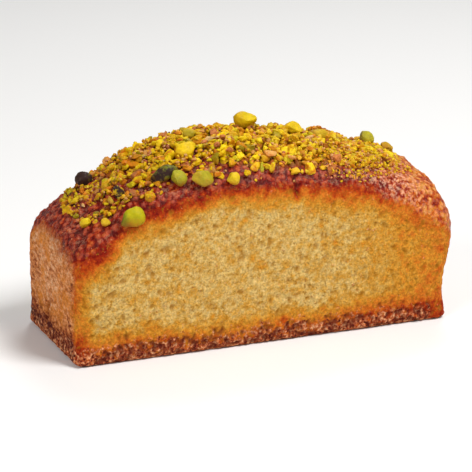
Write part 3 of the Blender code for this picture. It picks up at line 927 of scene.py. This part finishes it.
def settle(x, y, size, height, middle=None):
    """Lays a piece on the pile, or with its middle as given, and raises the map. Returns the middle."""
    reach = max(1, round(size / 2 / PILE_STEP))
    i, j = cell_of(x, y)
    window = pile[i - reach:i + reach + 1, j - reach:j + reach + 1]
    across, along = np.mgrid[-reach:reach + 1, -reach:reach + 1] / reach
    bulge = np.sqrt(np.clip(1 - across**2 - along**2, 0, None)) * height / 2
    under = bulge > 0
    if middle is None:
        thickest = THICKEST * (1 - THINNER_TIPS * smooth_step(*TIPS, way_to_tip(x)))
        for hollow_x, width, share in HOLLOWS:
            thickest *= 1 - share * math.exp(-((((x - HOLLOW_SKEW * y) / MM - hollow_x) / width) ** 2))
        middle = np.quantile((window + bulge)[under], NESTLE)
        middle = min(middle, thickest - height / 2)
    window[under] = np.maximum(window, middle + PACKED * bulge)[under]
    return middle


print("straight below the middle, the cake is", round(land(0, 0)[0].z / MM, 1), "mm high")

# %% [markdown]
# ## The shape of chopped nut
#
# A knife leaves flat cuts and fairly sharp edges on a rounded kernel. A cube or a ball with noise would not
# show them. Each piece here starts as a ball whose points are pulled in to a few random planes, as if it had
# been cut there, and arrays make hundreds of them at once. All the pieces of a kind become one mesh.

# %% Balls to cut
def ball(rounds, cuts=0):
    """A ball of radius 1 as arrays: its points and its three-sided faces."""
    form = bmesh.new()
    bmesh.ops.create_icosphere(form, subdivisions=rounds, radius=1)
    if cuts:
        bmesh.ops.subdivide_edges(form, edges=form.edges, cuts=cuts, use_grid_fill=True)
    points = np.array([vert.co.normalized() for vert in form.verts])
    triangles = np.array([[vert.index for vert in face.verts] for face in form.faces])
    form.free()
    return points, triangles


for rounds in (2, 3, 4):
    print("a ball of", rounds, "rounds has", len(ball(rounds)[1]), "triangles")


# %% Random cuts
CUT_SHARPNESS = 22
# Lumps on the surface, for broken and for whole kernels: how high for the radius, and how many waves to it
BROKEN = ((0.30, 1.3), (0.14, 3.8))
WHOLE = ((0.14, 1.2), (0.05, 3.2))


def chop(points, count, cuts, depth, lumps, draw):
    """So many trimmed balls, as one array. Depth is how far from the middle the cuts lie, from and to."""
    way = draw.normal(size=(count, cuts, 3))
    way /= np.linalg.norm(way, axis=2, keepdims=True)
    reach = draw.uniform(*depth, size=(count, cuts, 1))
    pull = np.clip(way @ points.T, 0, None) / reach
    radius = (1 + (pull ** CUT_SHARPNESS).sum(axis=1)) ** (-1 / CUT_SHARPNESS)
    for shape in range(count):
        for strength, waves in lumps:
            where = points * waves + 7.0 * shape
            radius[shape] *= 1 + strength * np.array([noise.noise(place) for place in where.tolist()])
    return points[None] * radius[:, :, None]


def taper(shapes, narrow, bend):
    """Makes each shape narrower towards its -x end, and bends that end sideways, by shares of its width."""
    along = np.clip((1 - shapes[:, :, 0]) / 2, 0, 1)
    shapes = shapes.copy()
    shapes[:, :, 1] = shapes[:, :, 1] * (1 - narrow[:, None] * along) - bend[:, None] * along**2
    return shapes


# %% Setting the shapes down on the cake
def stand(shapes, sizes, spots, ways, turns):
    """Gives each shape its full sizes and turn, sets it square to its way up, and moves it to its spot."""
    low, high = shapes.min(axis=1, keepdims=True), shapes.max(axis=1, keepdims=True)
    shapes = (2 * shapes - low - high) / (high - low)
    along = np.stack([np.cos(turns), np.sin(turns), np.zeros_like(turns)], axis=1)
    along -= ways * (along * ways).sum(axis=1, keepdims=True)
    along /= np.linalg.norm(along, axis=1, keepdims=True)
    frames = np.stack([along, np.cross(ways, along), ways], axis=2)
    return np.einsum("nij,npj->npi", frames, shapes * sizes[:, None] / 2) + spots[:, None]


def tilted(ways, most, draw):
    """The same ways up, each leaning over by up to most radians."""
    leaning = ways + np.tan(most) * draw.uniform(-1, 1, size=ways.shape)
    return leaning / np.linalg.norm(leaning, axis=1, keepdims=True)


# %% Many shapes as one piece
# An edge that turns by more than this is a cut, and stays sharp
CUT_EDGE = math.radians(26)
# Painted shade and soaked-in glaze at the feet of the pieces, but up to this share less over the right-hand
# half
LESS_SOAK_AND_SHADE, LESS_SOAK_AND_SHADE_RANGE = 0.5, (0, 30 * MM)


def nut_piece(name, shapes, triangles, flesh, skinned, toasted):
    """One object from many shapes, with the flesh's colours and how skinned and toasted each is."""
    count, points = shapes.shape[:2]
    steps = np.arange(count)[:, None, None] * points
    triangles = (triangles[None] + steps).reshape(-1, 3).tolist()
    top, foot = shapes[:, :, 2].max(axis=1, keepdims=True), shapes[:, :, 2].min(axis=1, keepdims=True)
    # Painted shade, with soaked-in glaze, is strongest at each piece's foot and gone at its top
    soak_and_shade = 1 - LESS_SOAK_AND_SHADE * smooth_step(*LESS_SOAK_AND_SHADE_RANGE, shapes[:, :1, 0])
    piece = mesh_piece(name, shapes.reshape(-1, 3) - [MIDDLE_X, 0, 0], triangles, {
        "flesh": flesh.reshape(-1, 4),
        "skinned": np.repeat(skinned, points),
        "toasted": np.repeat(toasted, points),
        "soaked_and_shaded": (soak_and_shade * (top - shapes[:, :, 2]) / (top - foot)).ravel(),
    })
    piece.data.set_sharp_from_angle(angle=CUT_EDGE)
    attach(piece, "root")
    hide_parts(CAKE)
    print(name, ":", count, "pieces,", len(triangles), "triangles")
    return piece


# %% [markdown]
# ## Pistachio
#
# Under its purple skin a pistachio is bright yellow-green, and it dulls to gold where it was toasted. Broken
# faces are matt and a little oily. One texture over all the nuts would run from piece to piece. So each
# piece takes its own colour from a short list, in the shares that the cake shows, and the material adds what
# is finer: mottling, toasted patches, painted shade low on each piece with glaze soaked in there too, shreds
# of dark skin and a grainy break.

# %% Colours of the nuts
# Each with its share
NUT_COLOURS = (
    ("#EAC604", 38), ("#E0B006", 26), ("#D08A0A", 12), ("#D6BE0A", 8), ("#A08A12", 4),
    ("#DCA052", 5), ("#C07640", 4), ("#84400E", 4), ("#4C2C1C", 1),
)
DUST_COLOURS = (
    ("#E6C018", 34), ("#DCA01C", 26), ("#E0AA66", 18), ("#CC8058", 11), ("#B25824", 8), ("#7A3018", 3),
)
SLIVER_COLOURS = (("#EACB22", 40), ("#E2B83A", 20), ("#E0B878", 20), ("#C8C030", 10), ("#B06A3A", 10))
SHADE_SPREAD = 0.16


def flesh_colours(palette, count, draw):
    """A colour for each of so many pieces, drawn from a palette and made a little lighter or darker."""
    shares = np.array([share for colour, share in palette], float)
    picks = draw.choice(len(palette), size=count, p=shares / shares.sum())
    colours = np.array([linear(colour) for colour, share in palette])[picks]
    colours[:, :3] *= 1 + SHADE_SPREAD * draw.uniform(-1, 1, size=(count, 1))
    return colours[:, None]


print("colours of the nuts:", len(NUT_COLOURS), "of the dust:", len(DUST_COLOURS))


# %% The nuts' material
def chopped_pistachio():
    """Pistachio flesh: matt and grainy where broken, with shreds of dark skin."""
    material = bpy.data.materials.new("chopped_pistachio_flesh")
    material.use_nodes = True
    tree = material.node_tree
    shader = tree.nodes["Principled BSDF"]
    at = pattern_place(tree)
    flesh = add(tree, "Attribute", attribute_name="flesh")["Color"]
    skinned = add(tree, "Attribute", attribute_name="skinned")["Fac"]
    toasted = add(tree, "Attribute", attribute_name="toasted")["Fac"]
    soaked_and_shaded = add(tree, "Attribute", attribute_name="soaked_and_shaded")["Fac"]
    # Flesh that is mottled lighter and darker
    mottle = add(tree, "TexNoise", {"Vector": at, "Scale": per(1.2), "Detail": 3, "Roughness": 0.6})["Fac"]
    shade = add(tree, "MapRange", {
        "Value": mottle, "From Min": 0.3, "From Max": 0.7, "To Min": 0.78, "To Max": 1.06,
    })["Result"]
    colour = add(tree, "VectorMath", {0: flesh, 3: shade}, operation="SCALE")["Vector"]

    # Toasted patches of gold brown
    toast = add(tree, "TexNoise", {"Vector": at, "Scale": per(1.9), "Detail": 2, "Roughness": 0.6})["Fac"]
    toast = add(tree, "MapRange", {
        "Value": toast, "From Min": 0.46, "From Max": 0.64, "To Min": 0, "To Max": 0.9,
    })["Result"]
    toast = add(tree, "Math", {0: toast, 1: toasted}, operation="MULTIPLY")["Value"]
    colour = add(tree, "Mix", {0: toast, MIX_A: colour, MIX_B: linear("#C8700E")}, data_type="RGBA")[MIXED]

    # Brown painted shade low on each piece, where glaze also soaked in from below
    wet_and_shade = add(tree, "Math", {0: mottle, 1: 0.8, 2: soaked_and_shaded}, operation="MULTIPLY_ADD")["Value"]
    wet_and_shade = add(tree, "MapRange", {"Value": wet_and_shade, "From Min": 0.85, "From Max": 1.40, "To Max": 0.75})["Result"]
    colour = add(tree, "Mix", {0: wet_and_shade, MIX_A: colour, MIX_B: linear("#9C4E0C")}, data_type="RGBA")[MIXED]

    # Shreds of dark skin
    patch = add(tree, "TexNoise", {"Vector": at, "Scale": per(2.4), "Detail": 3, "Roughness": 0.7})["Fac"]
    cover = add(tree, "Math", {0: skinned, 1: patch}, operation="ADD")["Value"]
    cover = add(tree, "MapRange", {"Value": cover, "From Min": 0.78, "From Max": 0.88})["Result"]
    colour = add(tree, "Mix", {0: cover, MIX_A: colour, MIX_B: linear("#35211C")}, data_type="RGBA")[MIXED]
    tree.links.new(colour, shader.inputs["Base Color"])

    # A broken face shines unevenly, and its grain is felt as fine bumps
    rough = add(tree, "MapRange", {
        "Value": mottle, "From Min": 0.3, "From Max": 0.7, "To Min": 0.38, "To Max": 0.6,
    })["Result"]
    tree.links.new(rough, shader.inputs["Roughness"])
    grain = add(tree, "TexNoise", {"Vector": at, "Scale": per(0.45), "Detail": 2})["Fac"]
    bump = add(tree, "Bump", {"Height": grain, "Distance": 0.12 * MM, "Strength": 1.0})["Normal"]
    tree.links.new(bump, shader.inputs["Normal"])
    # The nut's oil gives a faint shine. Red and green light go further in than blue, so edges glow yellow
    shader.inputs["IOR"].default_value = 1.47
    shader.inputs["Specular IOR Level"].default_value = 0.18
    shader.inputs["Subsurface Weight"].default_value = 0.15
    shader.inputs["Subsurface Radius"].default_value = (1.0, 0.8, 0.2)
    shader.inputs["Subsurface Scale"].default_value = 0.8 * MM
    return material


pistachio = chopped_pistachio()
print("made", pistachio.name)

# %% [markdown]
# ## Strewing the nuts
#
# Single pieces could be laid by hand, but thousands can't, so only the kernels that catch the eye are placed
# one by one. The rest are strewn by a seeded draw. A piece is lifted by the thickness of the nuts under it,
# square to the cake, so that steep shoulders work like the flat ridge. The largest go down first and the
# finest last, so that the small ones fill the gaps between the large.

# %% Kernels
STREW_SEED = 5
# How deep they sink in, as a share of their height
NUT_SUNK = 0.15
KERNEL_CUTS, KERNEL_CUT_DEPTH = 7, (0.55, 0.9)
# Where along each kernel its second colour, partly painted shade, takes over
END_TINT_AND_SHADE_RANGE = (0.1, 0.8)
KERNEL_TOASTED = 0.10
draw = np.random.default_rng(STREW_SEED)
points, triangles = ball(4)
spots, ways = [], []
for kx, ky, length, width, height, turn, lift_up, *rest in KERNELS:
    spot, way = land(kx * MM, ky * MM)
    middle = (height * (0.5 - NUT_SUNK) + lift_up) * MM
    spots.append(spot + way * settle(kx * MM, ky * MM, 0.5 * (length + width) * MM, height * MM, middle))
    ways.append(way)
numbers = np.array([kernel[2:9] for kernel in KERNELS], float)
shapes = chop(points, len(KERNELS), KERNEL_CUTS, KERNEL_CUT_DEPTH, WHOLE, draw)
shapes = taper(shapes, numbers[:, 5], numbers[:, 6])
# Each kernel turns to its tapered end's colour, partly its own colour and partly painted shade
end_tint_and_shade = smooth_step(*END_TINT_AND_SHADE_RANGE, -shapes[:, :, :1])
flesh, end_flesh_and_shade = (np.array([linear(kernel[column]) for kernel in KERNELS])[:, None] for column in (9, 10))
flesh = flesh * (1 - end_tint_and_shade) + end_flesh_and_shade * end_tint_and_shade
shapes = stand(shapes, numbers[:, :3] * MM, np.array(spots), np.array(ways), np.radians(numbers[:, 3]))
skinned = np.array([kernel[11] for kernel in KERNELS])
toasted = np.full(len(KERNELS), KERNEL_TOASTED)
kernels = nut_piece("pistachio_kernels", shapes, triangles, flesh, skinned, toasted)
kernels.data.materials.append(pistachio)

# %% How chopped pieces differ over the cake
# More of them are toasted to the left, and at the edge of the patch
TOASTED_LEFT, TOASTED_EDGE, TOASTED_LESS = 0.5, 0.4, 0.1
TO_LEFT = (12 * MM, 36 * MM)
TO_EDGE = (0.5, 1.0)
# To the left they get painted shade, and to the right they are cleaner: with less skin, and nowhere darker
# than this colour
SHADED_LEFT = 0.25
CLEANER_RANGE = (-12 * MM, 6 * MM)
CLEANEST, LESS_SKIN = "#A8661A", 0.8
# The higher this is, the fewer keep much of their skin
SKIN_STEEPNESS = 3


def baked_unlike(px, py, flesh, skins, draw):
    """Flesh colours, with painted shade to the left, and how far each piece is skinned and toasted, from where
    it lies.
    """
    toasted = draw.random(len(px)) + TOASTED_LEFT * smooth_step(*TO_LEFT, -px)
    toasted += TOASTED_EDGE * smooth_step(*TO_EDGE, np.abs(py) / (NUT_PATCH_WIDTH / 2)) - TOASTED_LESS
    flesh[:, :, :3] *= 1 - SHADED_LEFT * smooth_step(*TO_LEFT, -px)[:, None, None]
    cleaner = smooth_step(*CLEANER_RANGE, px)
    flesh = np.maximum(flesh, np.array(linear(CLEANEST)) * cleaner[:, None, None])
    skinned = draw.random(len(px)) ** SKIN_STEEPNESS * skins * (1 - LESS_SKIN * cleaner)
    return flesh, skinned, np.clip(toasted, 0, 1)


# %% Strewing chopped pieces
# How far they lean, in radians, how far from the middle they were cut, and how much some of them taper
NUT_LEAN = 0.35
CUT_DEPTH = (0.34, 0.85)
MOST_TAPERED = 0.5


def strew(name, places, form, cuts, flatness, sunk, palette, skins, bend=0.4):
    """Lays pieces of given x, y and size on the pile, as one object.

    Flatness is the range of width and height over length, sunk the share of its height that each sinks in,
    skins how far the most skinned one is, and bend how far their narrow ends may bend.
    """
    points, triangles = form
    count = len(places)
    flat = draw.uniform(*flatness, size=(count, 2))
    spots, ways = [], []
    for (px, py, size), (wide, high) in zip(places, flat):
        spot, way = land(px, py)
        spots.append(spot + way * (settle(px, py, size * (1 + wide) / 2, size * high) - sunk * size * high))
        ways.append(way)
    size = np.array(places)[:, 2:]
    sizes = np.concatenate([size, size * flat], axis=1)
    shapes = chop(points, count, cuts, CUT_DEPTH, BROKEN, draw)
    shapes = taper(shapes, draw.uniform(0, MOST_TAPERED, size=count), bend * draw.uniform(-1, 1, size=count))
    ways = tilted(np.array(ways), NUT_LEAN, draw)
    shapes = stand(shapes, sizes, np.array(spots), ways, draw.uniform(0, math.tau, size=count))
    flesh = np.repeat(flesh_colours(palette, count, draw), len(points), axis=1)
    px, py = np.array(places).T[:2]
    flesh, skinned, toasted = baked_unlike(px, py, flesh, skins, draw)
    piece = nut_piece(name, shapes, triangles, flesh, skinned, toasted)
    piece.data.materials.append(pistachio)


strew("pistachio_pieces", large, ball(2, 2),
      cuts=7, flatness=(0.6, 1.0), sunk=0.1, palette=NUT_COLOURS, skins=0.35)


# %% Places for the smaller pieces
# They gather in clumps about this wide: an even share of them, and so much more or less by the noise
CLUMP = 5 * MM
EVEN_SHARE, CLUMPED = 0.5, 1.3
# Towards the ridge more of them stay, and everywhere at least a few
RIDGE_GAIN, FEWEST = 0.35, 0.06
# Shares lost down the shoulders, from this share of the patch's half width on, and to the left
SHOULDER_LOSS, SHOULDER_RANGE = 0.7, (0.45, 1.0)
LEFT_LOSS, LEFT_LOSS_RANGE = 0.66, (10 * MM, 34 * MM)
# Where the nuts lie thicker than this none stays, and towards the tips of the patch at this share of it
MOST_PILED = 1.7 * MM
END_PILED, END_PILED_TIPS = 0.5, (0.72, 1.0)
# Below 1, this makes more pieces of each kind small
SIZE_POWER = 0.7


def strewn(x, y):
    """How likely a piece stays at (x, y): they gather in clumps, and roll off shoulders and high piles."""
    ended = smooth_step(*END_PILED_TIPS, way_to_tip(x))
    if pile[tuple(cell_of(x, y))] > MOST_PILED * (1 - (1 - END_PILED) * ended):
        return 0
    clump = EVEN_SHARE + CLUMPED * noise.noise((x / CLUMP, y / CLUMP, 3.0))
    out = abs(y) / (NUT_PATCH_WIDTH / 2)
    stays = 1 - SHOULDER_LOSS * smooth_step(*SHOULDER_RANGE, out)
    stays *= 1 - LEFT_LOSS * smooth_step(*LEFT_LOSS_RANGE, -x)
    return stays * min(1, max(FEWEST, clump + RIDGE_GAIN * (1 - out)))


def loose_places(count, largest, smallest, spill, tries):
    """Places for small pieces in the patch, each where the nuts lie thinnest of a few tries."""
    found = []
    while len(found) < count:
        size = largest + (smallest - largest) * (len(found) / count) ** SIZE_POWER
        options = []
        while len(options) < tries:
            px = draw.uniform(NUT_PATCH_LEFT - spill, NUT_PATCH_RIGHT + spill)
            py = draw.uniform(-1, 1) * (NUT_PATCH_WIDTH / 2 + spill)
            inside = max(NUT_PATCH_LEFT, min(NUT_PATCH_RIGHT, px))
            if abs(py) < patch_half_width(inside) + spill * draw.random() and strewn(px, py) > draw.random():
                options.append((pile[tuple(cell_of(px, py))], px, py))
        thinnest = min(options, key=lambda option: option[0])
        found.append((*thinnest[1:], size))
    return found


# %% Bits, slivers, grit and crumbs
# For their places: how many, the largest and smallest size and how far they spill over the patch's edge in
# mm, and the tries for each. For their looks: the ball's rounds, the cuts, flatness, sunk, palette, skins
# and bend, as in strew
SMALL_KINDS = (
    ("pistachio_bits", 460, 3.7, 1.6, 0, 3, 3, 7, (0.45, 1.0), 0.1, NUT_COLOURS, 0.3, 0.4),
    ("pistachio_slivers", 150, 3.4, 1.8, 0, 2, 3, 3, (0.25, 0.5), 0.0, SLIVER_COLOURS, 0.2, 1.8),
    ("pistachio_grit", 800, 2.0, 1.0, 0.6, 2, 2, 5, (0.5, 1.0), 0.1, NUT_COLOURS, 0.2, 0.4),
    ("pistachio_crumbs", 1000, 1.1, 0.6, 1.3, 2, 2, 4, (0.6, 1.0), 0.2, DUST_COLOURS, 0.2, 0.4),
)
for name, count, largest, smallest, spill, tries, rounds, *looks in SMALL_KINDS:
    strew(name, loose_places(count, largest * MM, smallest * MM, spill * MM, tries), ball(rounds), *looks)

# %% Dust on the bare crust
# Pale fine crumbs lie on the glaze in front of the right-hand half
DUST_COUNT = 380
DUST_PATCH = (16 * MM, 44 * MM, -18.5 * MM, -8 * MM)
DUST_SPILL = 2.4 * MM
DUST_SIZES = (0.4, 0.9)
# The dust reaches a little further right than the nuts, so its x counts for a little less
DUST_X_SHARE = 0.94
dust_places = []
while len(dust_places) < DUST_COUNT:
    px, py = draw.uniform(*DUST_PATCH[:2]), draw.uniform(*DUST_PATCH[2:])
    if abs(py) < patch_half_width(px * DUST_X_SHARE) + DUST_SPILL:
        dust_places.append((px, py, draw.uniform(*DUST_SIZES) * MM))
strew("pistachio_dust", dust_places, ball(2),
      cuts=4, flatness=(0.6, 1.0), sunk=0.2, palette=DUST_COLOURS, skins=0.0)

# %% [markdown]
# ## Studio
#
# The cake stands on a plain white floor in a pale room. Small lamps would throw hard shadows into each pore,
# and the crumb would look like stone. So the lights are large and soft, one of them stronger than the others
# so that the relief still shows. A long lens from half a metre away keeps the cake's sides nearly parallel.

# %% Floor
# Matt paint takes the cake's soft shadow and doesn't mirror it
FLOOR_SIZE = 6
bpy.ops.mesh.primitive_plane_add(size=FLOOR_SIZE)
floor = bpy.context.object
floor.name = "floor"
paint = bpy.data.materials.new("matt_white_paint")
paint.use_nodes = True
shader = paint.node_tree.nodes["Principled BSDF"]
shader.inputs["Base Color"].default_value = linear("#F4F3F1")
shader.inputs["Roughness"].default_value = 0.9
floor.data.materials.append(paint)
print("floor of", paint.name)

# %% Lights
ROOM_LIGHT = 0.22
world = bpy.data.worlds.new("pale_room")
world.use_nodes = True
background = world.node_tree.nodes["Background"]
background.inputs["Color"].default_value = linear("#FFFFFF")
background.inputs["Strength"].default_value = ROOM_LIGHT
bpy.context.scene.world = world


def soft_light(name, azimuth, elevation, distance, size, power):
    """A white, square area light that faces the cake from an azimuth and elevation in degrees."""
    turn, rise = math.radians(azimuth), math.radians(elevation)
    way = Vector((math.sin(turn) * math.cos(rise), -math.cos(turn) * math.cos(rise), math.sin(rise)))
    light = bpy.data.lights.new(name, "AREA")
    light.size, light.energy = size, power
    lamp = bpy.data.objects.new(name, light)
    lamp.location = way * distance
    lamp.rotation_euler = way.to_track_quat("Z", "Y").to_euler()
    bpy.context.scene.collection.objects.link(lamp)


# Azimuth and elevation in degrees, distance and size in metres, power in watts
soft_light("key", 36, 56, 0.8, 0.30, 5.3)
soft_light("fill", -62, 30, 0.9, 0.4, 3.0)
soft_light("rim", 150, 50, 0.8, 0.25, 1.5)
# The picture shows the colours as they are, with no film look over them
bpy.context.scene.view_settings.view_transform = "Standard"
print("lights:", [item.name for item in bpy.data.lights])

# %% Camera
CAMERA_AZIMUTH, CAMERA_ELEVATION = math.radians(-22.44), math.radians(16.76)
CAMERA_DISTANCE = 0.55
# Lens and sensor in millimetres
CAMERA_LENS = 165.8
CAMERA_SENSOR = 36
CLOSEST = 0.01
AIM = Vector((-1.63, -0.20, 22.53)) * MM
camera_data = bpy.data.cameras.new("camera")
camera_data.lens, camera_data.sensor_width = CAMERA_LENS, CAMERA_SENSOR
camera_data.clip_start = CLOSEST
camera = bpy.data.objects.new("camera", camera_data)
back = Vector((
    math.sin(CAMERA_AZIMUTH) * math.cos(CAMERA_ELEVATION),
    -math.cos(CAMERA_AZIMUTH) * math.cos(CAMERA_ELEVATION),
    math.sin(CAMERA_ELEVATION),
))
camera.location = AIM + back * CAMERA_DISTANCE
camera.rotation_euler = back.to_track_quat("Z", "Y").to_euler()
bpy.context.scene.collection.objects.link(camera)
bpy.context.scene.camera = camera
print("camera", CAMERA_DISTANCE, "m away, lens", CAMERA_LENS, "mm")
